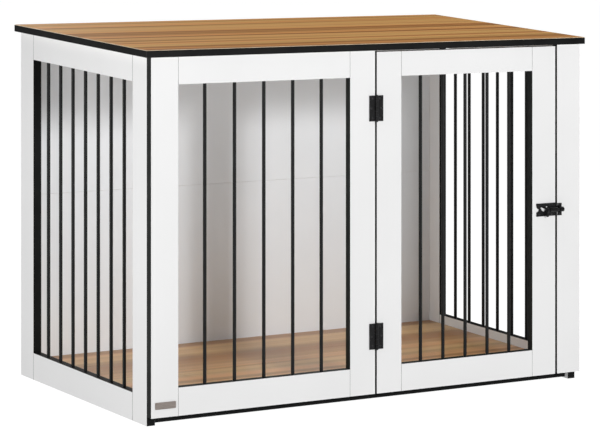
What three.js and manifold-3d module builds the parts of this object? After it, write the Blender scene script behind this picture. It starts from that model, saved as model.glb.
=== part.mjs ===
// Dog crate end table: a slatted crate of white, black-edged boards with black steel bars,
// a wood-grain table top, a hinged front door and a slide bolt that holds it shut.
// Millimetres, +Z up, +X along the front from left to right, +Y from the front to the back.
// The drawing frame has x = 0 at the crate's left outer face, y = 0 at the front face of the
// front frames and z = 0 on the ground; the exported group is shifted so that the origin is
// under the middle of the whole object.

import * as THREE from 'three';
import { mergeVertices } from 'three/addons/utils/BufferGeometryUtils.js';
import Module from 'manifold-3d';

const wasm = await Module();
wasm.setup();

// ---- Driving dimensions -------------------------------------------------------------------

const GAP = 0.3;                 // clearance left between pieces that touch

// table top
const TOP_X0 = -12.5, TOP_X1 = 1040.0;
const TOP_Y0 = -3.0, TOP_Y1 = 524.5;
const TOP_T = 14;
const TOP_Z1 = 709.2;
const TOP_Z0 = TOP_Z1 - TOP_T;

// crate body
const BODY_W = 1027.5;            // outer face to outer face of the two side frames
const PANEL_Z1 = TOP_Z0 - GAP;   // top edge of the fixed frames
const FRONT_T = 15.7;            // thickness of the front frames and of the back panels
const FRONT_Z0 = 17.4;           // the front frames hang clear of the ground
const SIDE_T = 18;               // thickness of the side frames, which stand on the ground
const SIDE_Y0 = FRONT_T + GAP;
const SIDE_Y1 = 519.4;
const SIDE_STILE = 53.4;
const SIDE_OPEN_Z0 = 53.6, SIDE_OPEN_Z1 = 643.4;

// front: fixed frame, door, right-hand post
const STILE = 59.5;
const FIXED_X1 = 511.8;
const DOOR_X0 = 516.0, DOOR_X1 = 963.8;
const DOOR_Z1 = PANEL_Z1 - 2.8;
const POST_X0 = 968.6;
const FRONT_OPEN_Z0 = 70.8, FRONT_OPEN_Z1 = 643.0;
const DOOR_SPARE = 3;

// bars
const BAR_D = 7;
const BAR_SEAT = 10;             // depth of the blind hole for each bar end
const BAR_SIDES = 16;
const SIDE_BARS = 7, FRONT_BARS = 5;

// floor, base rails and back
const BASE_Z0 = 2.8, BASE_Z1 = 20.8, BASE_T = 18;
const BASE_FRONT_Y0 = 25.5;
const FLOOR_Z0 = BASE_Z1 + GAP, FLOOR_Z1 = 35.3;
const BACK_Y1 = SIDE_Y1 - 0.6, BACK_Y0 = BACK_Y1 - FRONT_T;
const BACK_SEAM = 366;

// butt hinges
const HINGE_X = (FIXED_X1 + DOOR_X0) / 2;
const HINGE_Y = -3.5;            // hinge axis, in front of the frames
const HINGE_ZS = [581, 131.2];
const HINGE_H = 50.8, HINGE_HALF_W = 16.4, LEAF_T = 1.6;
const KNUCKLE_R = 3.0, PIN_R = 1.5, KNUCKLES = 5;
const SCREW_HOLE_R = 1.9;
const HINGE_HOLES = [[8.6, -19.4], [12.0, 0], [8.6, 19.4]];   // distance from the axis, height

// slide bolt
const LATCH_Z = 357;
const LATCH_X0 = 913.8, LATCH_X1 = DOOR_X1 - 0.6;
const LATCH_H = 26.6, LATCH_T = 1.5;
const BOLT_Y = -7.4, BOLT_R = 3.0, BOLT_X0 = 934.6, BOLT_X1 = 980.6;
const GUIDE_X0 = 943.0, GUIDE_R = 4.9, GUIDE_BORE = 3.3;
const KEEPER_X0 = 968.9, KEEPER_X1 = 979.4, KEEPER_H = 25.0;
const KNOB_X0 = 935.2, KNOB_X1 = 940.8, KNOB_R = 5.0, KNOB_DROP = 14.5, KNOB_LEVER_R = 2.4, KNOB_BALL_R = 3.6;

// blank name plate
const PLATE_X = 31, PLATE_Z = 40, PLATE_W = 45, PLATE_H = 13, PLATE_T = 1.0;

// origin: under the middle of the bounding box
const ORIGIN_X = (TOP_X0 + TOP_X1) / 2;
const ORIGIN_Y = (TOP_Y1 + BOLT_Y - KNOB_R) / 2;

// ---- Materials ----------------------------------------------------------------------------

const look = (color, roughness, metalness) => () =>
  new THREE.MeshStandardMaterial({ color, roughness, metalness });
const white = look(0xeeeeee, 0.45, 0.0);
const wood = look(0xb08458, 0.5, 0.0);
const floorWood = look(0x9d7a56, 0.55, 0.0);
const blackBoard = look(0x1e1e1f, 0.5, 0.0);
const blackSteel = look(0x202021, 0.4, 0.6);
const bronze = look(0x8b8170, 0.35, 0.8);

// ---- Helpers ------------------------------------------------------------------------------

const group = new THREE.Group();
group.position.set(-ORIGIN_X, -ORIGIN_Y, 0);

function add(name, geometry, material) {
  const mesh = new THREE.Mesh(geometry, material());
  mesh.name = name;
  group.add(mesh);
  return mesh;
}

function boxGeometry(x0, x1, y0, y1, z0, z1) {
  const g = new THREE.BoxGeometry(x1 - x0, y1 - y0, z1 - z0);
  g.translate((x0 + x1) / 2, (y0 + y1) / 2, (z0 + z1) / 2);
  return g;
}

// a cylinder from point (x, y, z) along +X, +Y or +Z
function rodGeometry(axis, x, y, z, length, radius, sides) {
  const g = new THREE.CylinderGeometry(radius, radius, length, sides);
  g.translate(0, length / 2, 0);
  if (axis === 'x') g.rotateZ(-Math.PI / 2);
  if (axis === 'z') g.rotateX(Math.PI / 2);
  g.translate(x, y, z);
  return g;
}

function toSolid(geometry) {
  const g = geometry.clone();
  for (const key of Object.keys(g.attributes)) if (key !== 'position') g.deleteAttribute(key);
  g.clearGroups();
  const merged = mergeVertices(g, 1e-4);
  return new wasm.Manifold(new wasm.Mesh({
    numProp: 3,
    vertProperties: new Float32Array(merged.attributes.position.array),
    triVerts: new Uint32Array(merged.index.array),
  }));
}

function toGeometry(solid) {
  const m = solid.getMesh();
  const g = new THREE.BufferGeometry();
  g.setAttribute('position', new THREE.BufferAttribute(new Float32Array(m.vertProperties), 3));
  g.setIndex(new THREE.BufferAttribute(new Uint32Array(m.triVerts), 1));
  const flat = g.toNonIndexed();
  flat.computeVertexNormals();
  return flat;
}

function carve(base, joins, cuts) {
  let solid = toSolid(base);
  for (const g of joins) solid = solid.add(toSolid(g));
  for (const g of cuts) solid = solid.subtract(toSolid(g));
  return toGeometry(solid);
}

function board(name, x0, x1, y0, y1, z0, z1, material) {
  return add(name, boxGeometry(x0, x1, y0, y1, z0, z1), material);
}

// positions of n bars that leave n + 1 equal gaps between a and b
function spread(a, b, n) {
  const gap = (b - a - n * BAR_D) / (n + 1);
  return Array.from({ length: n }, (_, i) => a + gap * (i + 1) + BAR_D * (i + 0.5));
}

// One slatted frame. axis says which way its width runs; [a0, a1] is its width, [t0, t1] its
// thickness, [z0, z1] its height, and the opening lies inside the stiles from oz0 to oz1. The
// last gap between the bars is wider than the others by spare.
function slattedFrame(prefix, axis, a0, a1, t0, t1, z0, z1, stile, oz0, oz1, bars, spare = 0) {
  const place = (lo, hi, zl, zh) => axis === 'x'
    ? boxGeometry(lo, hi, t0, t1, zl, zh)
    : boxGeometry(t0, t1, lo, hi, zl, zh);
  const first = axis === 'x' ? 'left' : 'front', second = axis === 'x' ? 'right' : 'rear';
  add(`${prefix}_stile_${first}`, place(a0, a0 + stile, z0, z1), white);
  add(`${prefix}_stile_${second}`, place(a1 - stile, a1, z0, z1), white);

  const r0 = a0 + stile + GAP, r1 = a1 - stile - GAP, mid = (t0 + t1) / 2;
  const spots = spread(a0 + stile, a1 - stile - spare, bars);
  const rod = (s, z, length, radius) => axis === 'x'
    ? rodGeometry('z', s, mid, z, length, radius, BAR_SIDES)
    : rodGeometry('z', mid, s, z, length, radius, BAR_SIDES);
  const hole = BAR_D / 2 + GAP;
  add(`${prefix}_rail_bottom`, carve(place(r0, r1, z0, oz0), [],
    spots.map((s) => rod(s, oz0 - BAR_SEAT, BAR_SEAT + 5, hole))), white);
  add(`${prefix}_rail_top`, carve(place(r0, r1, oz1, z1), [],
    spots.map((s) => rod(s, oz1 - 5, BAR_SEAT + 5, hole))), white);
  spots.forEach((s, i) => add(`${prefix}_bar_${i + 1}`,
    rod(s, oz0 - BAR_SEAT + GAP, oz1 - oz0 + 2 * (BAR_SEAT - GAP), BAR_D / 2), blackSteel));
}

// ---- Top, floor, base and back ------------------------------------------------------------

board('top_board', TOP_X0, TOP_X1, TOP_Y0, TOP_Y1, TOP_Z0, TOP_Z1, wood);

const IN_X0 = SIDE_T + GAP, IN_X1 = BODY_W - SIDE_T - GAP;
board('floor_board', IN_X0, IN_X1, SIDE_Y0, BACK_Y0 - GAP, FLOOR_Z0, FLOOR_Z1, floorWood);
board('base_rail_front', IN_X0, IN_X1, BASE_FRONT_Y0, BASE_FRONT_Y0 + BASE_T, BASE_Z0, BASE_Z1, blackBoard);
board('base_rail_rear', IN_X0, IN_X1, BACK_Y0 - GAP - BASE_T - 6, BACK_Y0 - GAP - 6, BASE_Z0, BASE_Z1, blackBoard);
board('back_panel_lower', IN_X0, IN_X1, BACK_Y0, BACK_Y1, BASE_Z0, BACK_SEAM - GAP / 2, white);
board('back_panel_upper', IN_X0, IN_X1, BACK_Y0, BACK_Y1, BACK_SEAM + GAP / 2, PANEL_Z1, white);

// ---- Side frames --------------------------------------------------------------------------

slattedFrame('left_side', 'y', SIDE_Y0, SIDE_Y1, 0, SIDE_T, 0, PANEL_Z1,
  SIDE_STILE, SIDE_OPEN_Z0, SIDE_OPEN_Z1, SIDE_BARS);
slattedFrame('right_side', 'y', SIDE_Y0, SIDE_Y1, BODY_W - SIDE_T, BODY_W, 0, PANEL_Z1,
  SIDE_STILE, SIDE_OPEN_Z0, SIDE_OPEN_Z1, SIDE_BARS);

// ---- Front: fixed frame, door and right-hand post -----------------------------------------

slattedFrame('front_fixed', 'x', 0, FIXED_X1, 0, FRONT_T, FRONT_Z0, PANEL_Z1,
  STILE, FRONT_OPEN_Z0, FRONT_OPEN_Z1, FRONT_BARS);
slattedFrame('door', 'x', DOOR_X0, DOOR_X1, 0, FRONT_T, FRONT_Z0, DOOR_Z1,
  STILE, FRONT_OPEN_Z0, FRONT_OPEN_Z1, FRONT_BARS, DOOR_SPARE);
board('front_post_right', POST_X0, BODY_W, 0, FRONT_T, FRONT_Z0, PANEL_Z1, white);

// ---- Butt hinges --------------------------------------------------------------------------

HINGE_ZS.forEach((zc, h) => {
  const where = h === 0 ? 'upper' : 'lower';
  const z0 = zc - HINGE_H / 2, pitch = HINGE_H / KNUCKLES;
  for (const side of [-1, 1]) {
    const own = side < 0 ? [0, 2, 4] : [1, 3];
    const outer = HINGE_X + side * HINGE_HALF_W, inner = HINGE_X + side * (KNUCKLE_R + GAP);
    const leaf = boxGeometry(Math.min(outer, inner), Math.max(outer, inner),
      -GAP - LEAF_T, -GAP, z0, z0 + HINGE_H);
    const joins = [], cuts = [];
    for (const k of own) {
      const s0 = z0 + k * pitch + (k === 0 ? 0 : GAP / 2);
      const s1 = z0 + (k + 1) * pitch - (k === KNUCKLES - 1 ? 0 : GAP / 2);
      joins.push(boxGeometry(Math.min(inner + side, HINGE_X), Math.max(inner + side, HINGE_X),
        -GAP - LEAF_T, -GAP - 0.2, s0, s1));
      joins.push(rodGeometry('z', HINGE_X, HINGE_Y, s0, s1 - s0, KNUCKLE_R, 24));
    }
    cuts.push(rodGeometry('z', HINGE_X, HINGE_Y, z0 - 5, HINGE_H + 10, PIN_R + GAP, 16));
    for (const [dx, dz] of HINGE_HOLES) {
      cuts.push(rodGeometry('y', HINGE_X + side * dx, -GAP - LEAF_T - 2, zc + dz, LEAF_T + 4, SCREW_HOLE_R, 16));
    }
    add(`hinge_${where}_leaf_${side < 0 ? 'fixed' : 'door'}`, carve(leaf, joins, cuts), blackSteel);
  }
  // pin with a low domed head at each end
  const half = HINGE_H / 2;
  const profile = [
    [0, -half - 1.7], [1.3, -half - 1.4], [2.3, -half - 0.8], [2.3, -half - GAP],
    [PIN_R, -half - GAP], [PIN_R, half + GAP], [2.3, half + GAP], [2.3, half + 0.8],
    [1.3, half + 1.4], [0, half + 1.7],
  ].map(([r, z]) => new THREE.Vector2(r, z));
  const pin = new THREE.LatheGeometry(profile, 16);
  pin.rotateX(Math.PI / 2);
  pin.translate(HINGE_X, HINGE_Y, zc);
  add(`hinge_${where}_pin`, pin, blackSteel);
});

// ---- Slide bolt ---------------------------------------------------------------------------

// a flat plate in the XZ plane from an outline, its back GAP in front of the frame
function plateGeometry(outline, thickness) {
  const g = new THREE.ExtrudeGeometry(new THREE.Shape(outline.map(([x, z]) => new THREE.Vector2(x, z))),
    { depth: thickness, bevelEnabled: false });
  g.rotateX(Math.PI / 2);       // extrusion now runs along -Y
  g.translate(0, -GAP, 0);
  return g;
}

{
  const zt = LATCH_Z + LATCH_H / 2, zb = LATCH_Z - LATCH_H / 2;
  const plate = plateGeometry([
    [LATCH_X0, zb], [LATCH_X1, zb], [LATCH_X1, zt], [LATCH_X0, zt],
    [LATCH_X0 + 0.6, LATCH_Z + 5.2], [LATCH_X0 + 5.9, LATCH_Z + 1.6], [LATCH_X0 + 5.9, LATCH_Z - 2.2],
    [LATCH_X0 + 0.6, LATCH_Z - 5.2],
  ], LATCH_T);
  const front = -GAP - LATCH_T;
  // two windows in the tail of the plate, through which the door shows
  const windowCuts = [
    [[924.2, 4.4], [925.6, 5.8], [930.0, 4.4], [937.4, 0.4], [937.2, -2.6], [931.0, -3.6], [927.4, -0.6]],
    [[938.0, 4.4], [942.4, 4.4], [942.4, 7.0], [938.0, 6.6]],
  ].map((outline) => {
    const g = new THREE.ExtrudeGeometry(new THREE.Shape(outline.map(([x, dz]) =>
      new THREE.Vector2(x, LATCH_Z + dz))), { depth: 8, bevelEnabled: false });
    g.rotateX(Math.PI / 2);
    g.translate(0, 3, 0);
    return g;
  });
  const guideLen = LATCH_X1 - 1.2 - GUIDE_X0;
  const guideBlock = boxGeometry(GUIDE_X0, GUIDE_X0 + guideLen, BOLT_Y, front + 0.4,
    LATCH_Z - GUIDE_R, LATCH_Z + GUIDE_R);
  const guideTube = rodGeometry('x', GUIDE_X0, BOLT_Y, LATCH_Z, guideLen, GUIDE_R, 24);
  const bore = rodGeometry('x', GUIDE_X0 - 5, BOLT_Y, LATCH_Z, guideLen + 10, GUIDE_BORE, 24);
  const holes = [[LATCH_X0 + 7.2, 9.6], [LATCH_X0 + 7.2, -9.6], [LATCH_X1 - 10.2, 9.4], [LATCH_X1 - 10.2, -9.4]]
    .map(([x, dz]) => rodGeometry('y', x, front - 2, LATCH_Z + dz, LATCH_T + 4, 1.7, 16));
  add('latch_plate', carve(plate, [guideBlock, guideTube], [...windowCuts, bore, ...holes]), blackSteel);

  const kt = LATCH_Z + KEEPER_H / 2 - 0.8, kb = kt - KEEPER_H;
  const keeperPlate = plateGeometry([
    [KEEPER_X0, kb], [KEEPER_X1, kb], [KEEPER_X1, kt], [KEEPER_X0, kt]], LATCH_T);
  const kLen = KEEPER_X1 - KEEPER_X0 - 1.6;
  const kx = KEEPER_X0 + 0.8;
  const kBlock = boxGeometry(kx, kx + kLen, BOLT_Y, front + 0.4, LATCH_Z - GUIDE_R, LATCH_Z + GUIDE_R);
  const kTube = rodGeometry('x', kx, BOLT_Y, LATCH_Z, kLen, GUIDE_R, 24);
  const kBore = rodGeometry('x', kx - 5, BOLT_Y, LATCH_Z, kLen + 10, GUIDE_BORE, 24);
  const kHoles = [8.4, -9.6].map((dz) =>
    rodGeometry('y', (KEEPER_X0 + KEEPER_X1) / 2, front - 2, LATCH_Z + dz, LATCH_T + 4, 1.7, 16));
  add('latch_keeper', carve(keeperPlate, [kBlock, kTube], [kBore, ...kHoles]), blackSteel);

  // bolt: a rod with a chamfered tip
  const boltProfile = [
    [0, BOLT_X0], [BOLT_R - 0.6, BOLT_X0], [BOLT_R, BOLT_X0 + 0.6], [BOLT_R, BOLT_X1 - 1.4],
    [BOLT_R - 1.0, BOLT_X1], [0, BOLT_X1],
  ].map(([r, x]) => new THREE.Vector2(r, x));
  const bolt = new THREE.LatheGeometry(boltProfile, 24);
  bolt.rotateZ(-Math.PI / 2);
  bolt.translate(0, BOLT_Y, LATCH_Z);
  add('latch_bolt', bolt, blackSteel);

  // knob: a collar round the rod with a lever that hangs down and ends in a rounded grip
  const collar = rodGeometry('x', KNOB_X0, BOLT_Y, LATCH_Z, KNOB_X1 - KNOB_X0, KNOB_R, 24);
  const lever = rodGeometry('z', (KNOB_X0 + KNOB_X1) / 2, BOLT_Y, LATCH_Z - KNOB_DROP + KNOB_BALL_R,
    KNOB_DROP - KNOB_BALL_R - 3.4, KNOB_LEVER_R, 16);
  const ball = new THREE.SphereGeometry(KNOB_BALL_R, 16, 10);
  ball.translate((KNOB_X0 + KNOB_X1) / 2, BOLT_Y, LATCH_Z - KNOB_DROP + KNOB_BALL_R);
  const knobBore = rodGeometry('x', KNOB_X0 - 5, BOLT_Y, LATCH_Z, KNOB_X1 - KNOB_X0 + 10, GUIDE_BORE, 24);
  add('latch_knob', carve(collar, [lever, ball], [knobBore]), blackSteel);
}

// ---- Blank name plate ---------------------------------------------------------------------

{
  const w = PLATE_W / 2, h = PLATE_H / 2, r = 1.5;
  const s = new THREE.Shape();
  s.moveTo(-w + r, -h);
  s.lineTo(w - r, -h);
  s.absarc(w - r, -h + r, r, -Math.PI / 2, 0, false);
  s.lineTo(w, h - r);
  s.absarc(w - r, h - r, r, 0, Math.PI / 2, false);
  s.lineTo(-w + r, h);
  s.absarc(-w + r, h - r, r, Math.PI / 2, Math.PI, false);
  s.lineTo(-w, -h + r);
  s.absarc(-w + r, -h + r, r, Math.PI, Math.PI * 1.5, false);
  const g = new THREE.ExtrudeGeometry(s, { depth: PLATE_T, bevelEnabled: false, curveSegments: 4 });
  g.rotateX(Math.PI / 2);
  g.translate(PLATE_X, -GAP, PLATE_Z);
  add('name_plate', g, bronze);
}

export default group;
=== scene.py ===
import math
import bmesh
import bpy
from mathutils import Matrix, Vector


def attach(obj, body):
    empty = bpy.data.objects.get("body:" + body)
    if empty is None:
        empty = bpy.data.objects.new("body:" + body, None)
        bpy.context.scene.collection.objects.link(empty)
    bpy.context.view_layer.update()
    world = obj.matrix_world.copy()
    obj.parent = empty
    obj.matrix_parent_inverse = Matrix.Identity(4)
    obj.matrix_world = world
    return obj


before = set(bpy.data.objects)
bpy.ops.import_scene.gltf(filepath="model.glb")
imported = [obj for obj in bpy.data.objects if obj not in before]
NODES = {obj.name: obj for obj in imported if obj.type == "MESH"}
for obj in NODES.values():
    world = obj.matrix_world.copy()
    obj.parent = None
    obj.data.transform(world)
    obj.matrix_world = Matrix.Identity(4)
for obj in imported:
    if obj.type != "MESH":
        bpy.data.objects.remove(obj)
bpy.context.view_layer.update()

MM = 0.001
# shift from the drawing frame (crate's left front corner on the ground) to the row frame, in mm
OX, OY = 513.75, 256.05


def P(x, y, z):
    """Drawing-frame millimetres to row-frame metres."""
    return Vector(((x - OX) * MM, (y - OY) * MM, z * MM))


# ---------------------------------------------------------------- camera
# The photograph's verticals are parallel, so the camera is level and its picture plane is upright:
# the view is taken off the lens axis, as with a rising-front camera.
FOCAL, YAW, SKEW, CY = 2880.0, 0.5830, 0.0330, -231.6          # pixels, radians
EYE = P(-2740.9, -4663.2, 1246.9)
W_PX, H_PX = 600.0, 441.0
F = Vector((math.sin(YAW), math.cos(YAW), 0.0))
R = Vector((math.cos(YAW), -math.sin(YAW), 0.0))
U = Vector((0.0, 0.0, 1.0))
rise = H_PX / 2 - CY
centre_ray = F - U * (rise / FOCAL)
c0 = (R + U * SKEW).normalized()
c2 = -centre_ray.normalized()
cam_data = bpy.data.cameras.new("camera")
cam = bpy.data.objects.new("camera", cam_data)
bpy.context.scene.collection.objects.link(cam)
cam_data.sensor_fit = "HORIZONTAL"
cam_data.sensor_width = 36.0
cam_data.lens = FOCAL * centre_ray.length * 36.0 / W_PX
cam_data.clip_start, cam_data.clip_end = 0.1, 60.0
stand = bpy.data.objects.new("camera_stand", None)
bpy.context.scene.collection.objects.link(stand)
cam.parent = stand
cam.matrix_parent_inverse = Matrix((
    (c0.x, U.x, c2.x, EYE.x),
    (c0.y, U.y, c2.y, EYE.y),
    (c0.z, U.z, c2.z, EYE.z),
    (0.0, 0.0, 0.0, 1.0)))
bpy.context.scene.camera = cam


# ---------------------------------------------------------------- material helpers
class Mat:
    """A small builder for node materials."""

    def __init__(self, name):
        self.m = bpy.data.materials.new(name)
        self.m.use_nodes = True
        self.t = self.m.node_tree
        self.t.nodes.clear()
        self.out = self.t.nodes.new("ShaderNodeOutputMaterial")
        self.b = self.t.nodes.new("ShaderNodeBsdfPrincipled")
        self.link(self.b.outputs[0], self.out.inputs[0])

    def link(self, a, b):
        self.t.links.new(a, b)

    def node(self, kind, **values):
        n = self.t.nodes.new(kind)
        for k, v in values.items():
            if hasattr(n, k):
                setattr(n, k, v)
            else:
                n.inputs[k.replace("_", " ")].default_value = v
        return n

    def coords(self, scale=(1, 1, 1), loc=(0, 0, 0), rot=(0, 0, 0)):
        tc = self.node("ShaderNodeTexCoord")
        mp = self.node("ShaderNodeMapping")
        mp.inputs["Scale"].default_value = scale
        mp.inputs["Location"].default_value = loc
        mp.inputs["Rotation"].default_value = rot
        self.link(tc.outputs["Object"], mp.inputs["Vector"])
        return mp.outputs["Vector"]

    def noise(self, vec, scale, detail=4.0, rough=0.5, distortion=0.0):
        n = self.node("ShaderNodeTexNoise")
        n.inputs["Scale"].default_value = scale
        n.inputs["Detail"].default_value = detail
        n.inputs["Roughness"].default_value = rough
        n.inputs["Distortion"].default_value = distortion
        self.link(vec, n.inputs["Vector"])
        return n.outputs["Fac"]

    def ramp(self, fac, stops, interp="LINEAR"):
        r = self.node("ShaderNodeValToRGB")
        cr = r.color_ramp
        cr.interpolation = interp
        while len(cr.elements) < len(stops):
            cr.elements.new(0.5)
        for e, (pos, col) in zip(cr.elements, stops):
            e.position = pos
            e.color = (*col, 1.0) if len(col) == 3 else col
        self.link(fac, r.inputs[0])
        return r.outputs["Color"]

    def mixc(self, a, b, fac, blend="MIX"):
        n = self.node("ShaderNodeMix")
        n.data_type = "RGBA"
        n.blend_type = blend
        self.put(n.inputs[0], fac)
        self.put(n.inputs[6], a)
        self.put(n.inputs[7], b)
        return n.outputs[2]

    def math(self, op, a, b=None, clamp=False):
        n = self.node("ShaderNodeMath")
        n.operation = op
        n.use_clamp = clamp
        self.put(n.inputs[0], a)
        if b is not None:
            self.put(n.inputs[1], b)
        return n.outputs[0]

    def remap(self, v, a0, a1, b0, b1):
        n = self.node("ShaderNodeMapRange")
        for i, x in enumerate((None, a0, a1, b0, b1)):
            if x is not None:
                n.inputs[i].default_value = x
        self.link(v, n.inputs[0])
        return n.outputs[0]

    def put(self, sock, v):
        if isinstance(v, bpy.types.NodeSocket):
            self.link(v, sock)
        elif isinstance(v, (tuple, list)) and len(v) == 3:
            sock.default_value = (*v, 1.0)
        else:
            sock.default_value = v

    def bump(self, height, strength, distance):
        n = self.node("ShaderNodeBump")
        n.inputs["Strength"].default_value = strength
        n.inputs["Distance"].default_value = distance
        self.link(height, n.inputs["Height"])
        self.link(n.outputs[0], self.b.inputs["Normal"])

    def set(self, **kw):
        for k, v in kw.items():
            self.put(self.b.inputs[k.replace("_", " ")], v)
        return self


def srgb(r, g, b):
    f = lambda c: (c / 255 / 12.92) if c / 255 <= 0.04045 else ((c / 255 + 0.055) / 1.055) ** 2.4
    return (f(r), f(g), f(b))


# ---------------------------------------------------------------- materials
def white_laminate(name="white_laminate", tint=(231, 231, 231)):
    """Melamine-faced board: off-white, faintly mottled, with a very fine moulded texture."""
    m = Mat(name)
    v = m.coords()
    cloud = m.noise(v, 3.2, 3.0, 0.55)
    fine = m.noise(v, 900.0, 2.0, 0.6)
    hi = srgb(*tint)
    lo = srgb(*[c - 4 for c in tint])
    m.set(Base_Color=m.ramp(cloud, [(0.35, lo), (0.65, hi)]), IOR=1.45, Specular_IOR_Level=0.25)
    m.set(Roughness=m.remap(fine, 0.3, 0.7, 0.48, 0.58))
    m.bump(fine, 0.12, 0.0002)
    return m.m


def wood(name, light, mid, dark, seed, pore=0.2, figure=0.35, rough=(0.55, 0.70), spec=0.12, wide=1.0):
    """Printed wood grain that runs along X: broad wavy streaks, fine figure, thin dark pores."""
    m = Mat(name)
    warp_v = m.coords(scale=(0.9, 4.0, 4.0), loc=(seed, seed * 1.7, 0.3))
    warp = m.noise(warp_v, 1.0, 2.0, 0.5)
    # bend the lines of the grain a little
    tc = m.node("ShaderNodeTexCoord")
    sep = m.node("ShaderNodeSeparateXYZ")
    m.link(tc.outputs["Object"], sep.inputs[0])
    y = m.math("ADD", sep.outputs["Y"], m.math("MULTIPLY", m.math("SUBTRACT", warp, 0.5), 0.035))

    def lines(sx, sy, scale, detail, rough_, off):
        c = m.node("ShaderNodeCombineXYZ")
        m.link(m.math("MULTIPLY", sep.outputs["X"], sx), c.inputs["X"])
        m.link(m.math("MULTIPLY", y, sy), c.inputs["Y"])
        c.inputs["Z"].default_value = off + seed
        return m.noise(c.outputs[0], scale, detail, rough_)

    broad = lines(0.10, 7.0 * wide, 1.6, 1.0, 0.4, 1.0)
    band = lines(0.20, 20.0 * wide, 1.6, 2.0, 0.45, 4.0)
    fine = lines(0.6, 130.0, 1.8, 5.0, 0.65, 7.0)
    hue = lines(0.18, 15.0, 1.6, 2.0, 0.5, 17.0)
    pores = lines(9.0, 700.0, 1.0, 2.0, 0.5, 11.0)
    tone = m.math("ADD", m.math("MULTIPLY", broad, 0.42), m.math("MULTIPLY", band, 0.58))
    col = m.ramp(tone, [(0.38, dark), (0.445, mid), (0.495, light), (0.54, light), (0.575, mid), (0.62, dark)])
    # some streaks run redder, some yellower
    red = m.ramp(hue, [(0.38, (1.06, 0.93, 0.86)), (0.50, (1.0, 1.0, 1.0)), (0.62, (0.97, 1.03, 0.98))])
    col = m.mixc(col, red, 0.8, "MULTIPLY")
    fine_c = m.ramp(fine, [(0.36, (0.80, 0.76, 0.72)), (0.50, (1.0, 1.0, 1.0)), (0.62, (1.10, 1.12, 1.12))])
    col = m.mixc(col, fine_c, figure, "MULTIPLY")
    pore_c = m.ramp(pores, [(0.30, (0.55, 0.48, 0.42)), (0.44, (1, 1, 1))])
    col = m.mixc(col, pore_c, pore, "MULTIPLY")
    m.set(Base_Color=col, IOR=1.45, Specular_IOR_Level=spec)
    m.set(Roughness=m.remap(fine, 0.3, 0.7, rough[0], rough[1]))
    m.bump(m.math("ADD", fine, m.math("MULTIPLY", pores, 0.6)), 0.18, 0.0003)
    return m.m


def black_edge(name="black_edge_band", lo=(13, 14, 14), hi=(22, 23, 23)):
    """Black edge banding: a satin skin with a very fine texture and a slightly worn tone."""
    m = Mat(name)
    v = m.coords()
    cloud = m.noise(v, 22.0, 3.0, 0.6)
    fine = m.noise(v, 1400.0, 2.0, 0.6)
    m.set(Base_Color=m.ramp(cloud, [(0.3, srgb(*lo)), (0.7, srgb(*hi))]), IOR=1.45, Specular_IOR_Level=0.11)
    m.set(Roughness=m.remap(fine, 0.3, 0.7, 0.45, 0.60))
    m.bump(fine, 0.15, 0.0002)
    return m.m


def top_edge_highlight_paint(name="top_edge_painted_highlight", top=0.7092):
    """The top's bevelled arris: a thin painted highlight round the wood, standing for light caught on the edge,
    black below it.
    """
    m = Mat(name)
    v = m.coords()
    n = m.noise(v, 60.0, 4.0, 0.6)
    sep = m.node("ShaderNodeSeparateXYZ")
    m.link(v, sep.inputs[0])
    # painted highlight: pale colour on the upper part of the bevel, black band colour below
    painted_highlight = m.ramp(n, [(0.35, srgb(206, 184, 154)), (0.62, srgb(230, 212, 186))])
    m.set(Base_Color=m.mixc(srgb(17, 18, 18), painted_highlight, m.remap(sep.outputs["Z"], top - 0.0010, top - 0.0006, 0.0, 1.0)),
          IOR=1.45, Specular_IOR_Level=0.3)
    m.set(Roughness=m.remap(n, 0.3, 0.7, 0.35, 0.48))
    m.bump(n, 0.1, 0.0002)
    return m.m


def powder_coat(name, lo, hi, r0, r1, texture=2200.0, strength=0.25, spec=0.14):
    """Black powder-coated or plated steel with a fine orange peel."""
    m = Mat(name)
    v = m.coords()
    cloud = m.noise(v, 35.0, 3.0, 0.6)
    peel = m.noise(v, texture, 2.0, 0.5)
    m.set(Base_Color=m.ramp(cloud, [(0.3, srgb(*lo)), (0.7, srgb(*hi))]), IOR=1.5,
          Metallic=0.0, Specular_IOR_Level=spec)
    m.set(Roughness=m.remap(peel, 0.3, 0.7, r0, r1))
    m.bump(peel, strength, 0.0002)
    return m.m


def brushed_bronze(name="plate_bronze"):
    """Grey bronze plate, brushed along its length."""
    m = Mat(name)
    v = m.coords(scale=(1.0, 1.0, 60.0))
    streak = m.noise(v, 60.0, 4.0, 0.7)
    cloud = m.noise(m.coords(), 60.0, 2.0, 0.5)
    base = m.ramp(streak, [(0.3, srgb(124, 114, 108)), (0.7, srgb(178, 168, 162))])
    base = m.mixc(base, m.ramp(cloud, [(0.3, (0.82, 0.82, 0.82)), (0.7, (1, 1, 1))]), 0.6, "MULTIPLY")
    m.set(Base_Color=base, Metallic=0.85, IOR=1.5)
    m.set(Roughness=m.remap(streak, 0.3, 0.7, 0.30, 0.48))
    m.bump(streak, 0.2, 0.0001)
    return m.m


def screw_steel(name="screw_black"):
    m = Mat(name)
    v = m.coords()
    n = m.noise(v, 500.0, 3.0, 0.6)
    m.set(Base_Color=m.ramp(n, [(0.3, srgb(26, 26, 27)), (0.7, srgb(48, 48, 50))]), Metallic=0.6,
          IOR=1.5)
    m.set(Roughness=m.remap(n, 0.3, 0.7, 0.28, 0.42))
    m.bump(n, 0.1, 0.0001)
    return m.m


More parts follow.
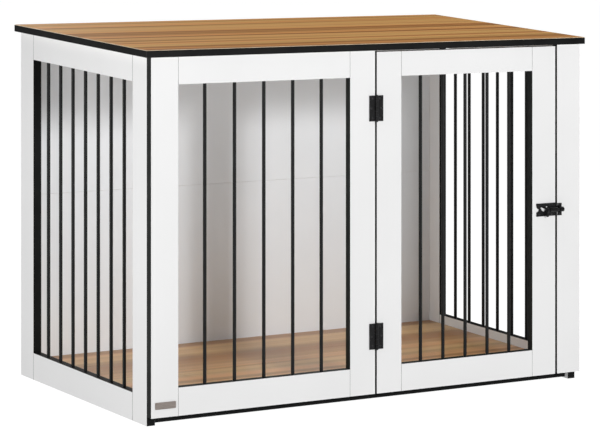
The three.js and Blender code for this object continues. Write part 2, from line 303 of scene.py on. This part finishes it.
M_WHITE = white_laminate()
M_EDGE = black_edge()
# painted light: a lighter copy of the black edge band for the front frames, standing for the light their edges catch
M_EDGE_FRONT_LIT = black_edge("front_edge_band_painted_lighter", (28, 30, 29), (38, 40, 39))
M_TOP = wood("top_wood", srgb(200, 152, 92), srgb(178, 128, 72), srgb(140, 91, 46), 2.3)
M_FLOOR = wood("floor_wood", srgb(216, 172, 122), srgb(200, 156, 107), srgb(169, 125, 82), 8.1,
               pore=0.12, figure=0.22, rough=(0.26, 0.36), spec=0.45, wide=0.65)
M_UNDER = white_laminate("underside_laminate", (226, 224, 220))
# painted light: the back panel's inner face is a brighter, bluer copy of the white laminate, standing for light
# inside the crate and offsetting the warm bounce off the wood floor
M_BACK_INNER_LIT = white_laminate("back_panel_inner_painted_light", (240, 243, 246))
# painted highlight along the top's bevelled edge
M_TOP_EDGE_HIGHLIGHT = top_edge_highlight_paint()
M_BAR = powder_coat("bar_powder_coat", (14, 15, 15), (24, 25, 25), 0.36, 0.50, spec=0.22)
M_BASE = black_edge("black_base_board")
M_HW = powder_coat("hardware_black", (11, 11, 12), (26, 26, 27), 0.24, 0.42, texture=1500.0, spec=0.22)
M_PLATE = brushed_bronze()
M_SCREW = screw_steel()


# ---------------------------------------------------------------- CAD nodes: finish and edge rounding
def paint(node, face_mats, pick):
    """Gives each face of a node one of the materials; pick(normal, centre) returns its index."""
    o = NODES[node]
    o.data.materials.clear()
    for mat in face_mats:
        o.data.materials.append(mat)
    for p in o.data.polygons:
        p.material_index = pick(p.normal, p.center)


def round_edges(node, width_mm, segments=3, angle=35.0, face_mat=-1):
    o = NODES[node]
    for p in o.data.polygons:
        p.use_smooth = True
    weld = o.modifiers.new("weld", "WELD")
    weld.merge_threshold = 1e-6
    bev = o.modifiers.new("bevel", "BEVEL")
    bev.width = width_mm * MM
    bev.segments = segments
    bev.limit_method = "ANGLE"
    bev.angle_limit = math.radians(angle)
    bev.use_clamp_overlap = True
    bev.miter_outer = "MITER_ARC"
    bev.material = face_mat
    wn = o.modifiers.new("normals", "WEIGHTED_NORMAL")
    wn.mode = "FACE_AREA"
    wn.weight = 50
    wn.keep_sharp = False


THICK_Y = lambda n, c: 0 if abs(n.y) > 0.5 else 1
THICK_X = lambda n, c: 0 if abs(n.x) > 0.5 else 1
for name in NODES:
    if "_bar_" in name:
        paint(name, [M_BAR], lambda n, c: 0)
        round_edges(name, 0.5, 2)
    elif name.startswith(("left_side", "right_side")):
        paint(name, [M_WHITE, M_EDGE], THICK_X)
        round_edges(name, 0.5)
    elif name.startswith("back_panel"):
        # the inner face (normal -Y) takes the painted-light copy, the outer face the plain white
        paint(name, [M_BACK_INNER_LIT, M_WHITE], lambda n, c: 0 if n.y < -0.5 else 1)
        round_edges(name, 0.3)
    elif name.startswith(("front_fixed", "door_", "front_post")):
        # front frames take the painted-lighter copy of the black edge band
        paint(name, [M_WHITE, M_EDGE_FRONT_LIT], THICK_Y)
        round_edges(name, 0.5)
    elif name.startswith("base_rail"):
        paint(name, [M_BASE], lambda n, c: 0)
        round_edges(name, 0.5)
    elif name == "top_board":
        paint(name, [M_TOP, M_EDGE, M_UNDER, M_TOP_EDGE_HIGHLIGHT], lambda n, c: 0 if n.z > 0.5 else (2 if n.z < -0.5 else 1))
        # the bevel faces of the top take slot 3, the painted edge highlight
        round_edges(name, 0.8, face_mat=3)
    elif name == "floor_board":
        paint(name, [M_FLOOR, M_EDGE, M_UNDER], lambda n, c: 0 if n.z > 0.5 else (2 if n.z < -0.5 else 1))
        round_edges(name, 0.5)
    elif name == "name_plate":
        paint(name, [M_PLATE], lambda n, c: 0)
        round_edges(name, 0.25)
    else:
        paint(name, [M_HW], lambda n, c: 0)
        round_edges(name, 0.3)


# ---------------------------------------------------------------- screws
def screw(name, x, y, z, head_r, body, turn=0.3):
    """A countersunk pan-head screw that faces -Y, with a cross recess. (x, y, z) is the seat of the head."""
    me = bpy.data.meshes.new(name)
    bm = bmesh.new()
    seg = 32
    prof = [(head_r * 0.55, 1.2), (head_r * 0.98, 0.1), (head_r, -0.05), (head_r * 0.93, -0.35),
            (head_r * 0.72, -0.62), (head_r * 0.42, -0.76)]
    rings = []
    for r, d in prof:
        ring = [bm.verts.new((r * math.cos(2 * math.pi * i / seg), d, r * math.sin(2 * math.pi * i / seg)))
                for i in range(seg)]
        rings.append(ring)
    for a, b in zip(rings, rings[1:]):
        for i in range(seg):
            bm.faces.new((a[i], a[(i + 1) % seg], b[(i + 1) % seg], b[i]))
    bm.faces.new(list(reversed(rings[0])))
    # cross recess in the crown
    w, l, depth = head_r * 0.13, head_r * 0.40, 0.55
    pts = []
    for q in range(4):
        a = q * math.pi / 2 + turn
        ca, sa = math.cos(a), math.sin(a)
        for px, pz in ((l, -w), (l, w), (w, w)):
            pts.append((px * ca - pz * sa, px * sa + pz * ca))
    top = [bm.verts.new((px, -0.78, pz)) for px, pz in pts]
    bot = [bm.verts.new((px * 0.7, -0.78 + depth, pz * 0.7)) for px, pz in pts]
    n = len(pts)
    for i in range(n):
        bm.faces.new((top[i], top[(i + 1) % n], bot[(i + 1) % n], bot[i]))
    bm.faces.new(bot)
    # crown between the last ring and the recess
    last = rings[-1]
    edges = [bm.edges.get((last[i], last[(i + 1) % seg])) for i in range(seg)]
    edges += [bm.edges.get((top[i], top[(i + 1) % n])) for i in range(n)]
    bmesh.ops.bridge_loops(bm, edges=edges)
    bmesh.ops.recalc_face_normals(bm, faces=bm.faces)
    for v in bm.verts:
        v.co *= MM
    bm.to_mesh(me)
    bm.free()
    for p in me.polygons:
        p.use_smooth = True
    o = bpy.data.objects.new(name, me)
    bpy.context.scene.collection.objects.link(o)
    o.data.materials.append(M_SCREW)
    o.location = P(x, y, z)
    es = o.modifiers.new("edges", "EDGE_SPLIT")
    es.split_angle = math.radians(40)
    bpy.context.view_layer.update()
    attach(o, body)
    return o


HX, LEAF_Y = 513.9, -1.9
for h, zc in (("upper", 581.0), ("lower", 131.2)):
    for side, body, tag in ((-1, "crate", "fixed"), (1, "door", "door")):
        for k, (dx, dz) in enumerate(((8.6, -19.4), (12.0, 0.0), (8.6, 19.4))):
            screw(f"screw_hinge_{h}_{tag}_{k + 1}", HX + side * dx, LEAF_Y + 0.35, zc + dz, 2.7, body,
                  turn=0.3 + 0.9 * k + 0.5 * (side > 0))
LZ, PLATE_Y = 357.0, -1.8
for k, (x, dz) in enumerate(((921.0, 9.6), (921.0, -9.6), (953.0, 9.4), (953.0, -9.4))):
    screw(f"screw_latch_{k + 1}", x, PLATE_Y + 0.35, LZ + dz, 2.5, "door", turn=0.2 + 0.7 * k)
for k, dz in enumerate((8.4, -9.6)):
    screw(f"screw_keeper_{k + 1}", 974.15, PLATE_Y + 0.35, LZ + dz, 2.5, "crate", turn=0.5 + 0.6 * k)


# ---------------------------------------------------------------- stage and light
floor_mesh = bpy.data.meshes.new("studio_floor")
bm = bmesh.new()
s = 14.0
vs = [bm.verts.new(v) for v in ((-s, -s, -0.0005), (s, -s, -0.0005), (s, s, -0.0005), (-s, s, -0.0005))]
bm.faces.new(vs)
bm.to_mesh(floor_mesh)
bm.free()
studio = bpy.data.objects.new("studio_floor", floor_mesh)
bpy.context.scene.collection.objects.link(studio)
fm = Mat("studio_floor")
seen = fm.node("ShaderNodeLightPath")            # the floor is a white sweep that gives little light of its own
fm.set(Base_Color=(0.08, 0.08, 0.08), Roughness=0.95, Specular_IOR_Level=0.0,
       Emission_Color=(1.0, 1.0, 1.0),
       Emission_Strength=fm.remap(seen.outputs["Is Camera Ray"], 0.0, 1.0, 0.65, 1.0))
studio.data.materials.append(fm.m)

world = bpy.data.worlds.new("studio")
bpy.context.scene.world = world
world.use_nodes = True
wt = world.node_tree
background = wt.nodes["Background"]
background.inputs[0].default_value = (1.0, 1.0, 1.0, 1.0)
ray = wt.nodes.new("ShaderNodeLightPath")
level = wt.nodes.new("ShaderNodeMapRange")       # the room behind the set is white, the light it gives is low
level.inputs["To Min"].default_value = 0.05
level.inputs["To Max"].default_value = 1.0
wt.links.new(ray.outputs["Is Camera Ray"], level.inputs["Value"])
wt.links.new(level.outputs[0], background.inputs[1])


def area(name, loc, target, size, power, colour=(1, 1, 1)):
    d = bpy.data.lights.new(name, "AREA")
    d.shape = "RECTANGLE"
    d.size, d.size_y = size
    d.energy = power
    d.color = colour
    o = bpy.data.objects.new(name, d)
    bpy.context.scene.collection.objects.link(o)
    o.location = loc
    o.rotation_euler = (Vector(target) - Vector(loc)).to_track_quat("-Z", "Y").to_euler()
    o.visible_camera = False
    return o


def softbox(name, azimuth, elevation, distance, size, power):
    """Azimuth in degrees from straight in front, towards +X; aimed at the middle of the object."""
    a, e = math.radians(azimuth), math.radians(elevation)
    aim = Vector((0.0, 0.0, 0.35))
    return area(name, aim + distance * Vector((math.sin(a) * math.cos(e), -math.cos(a) * math.cos(e), math.sin(e))),
                aim, size, power)


softbox("key", 8.0, 18.0, 4.6, (0.5, 0.5), 61)
softbox("key_near", 3.0, 17.5, 3.2, (0.4, 0.4), 18.5)
softbox("low_front", 7.0, 10.0, 3.2, (0.9, 0.7), 12)
softbox("left_bank", -90.0, 10.0, 2.6, (1.6, 1.6), 15.5)
softbox("left_near", -70.0, 3.0, 1.6, (1.0, 1.0), 5.8)
softbox("right_bank", 97.0, 21.0, 2.6, (1.6, 1.6), 21)
softbox("back_bank", 180.0, 22.0, 2.6, (1.6, 1.6), 25)
softbox("overhead", 0.0, 89.0, 2.6, (3.0, 2.2), 36)

sc = bpy.context.scene
sc.view_settings.view_transform = "Standard"
sc.view_settings.look = "None"
sc.view_settings.exposure = 0.0
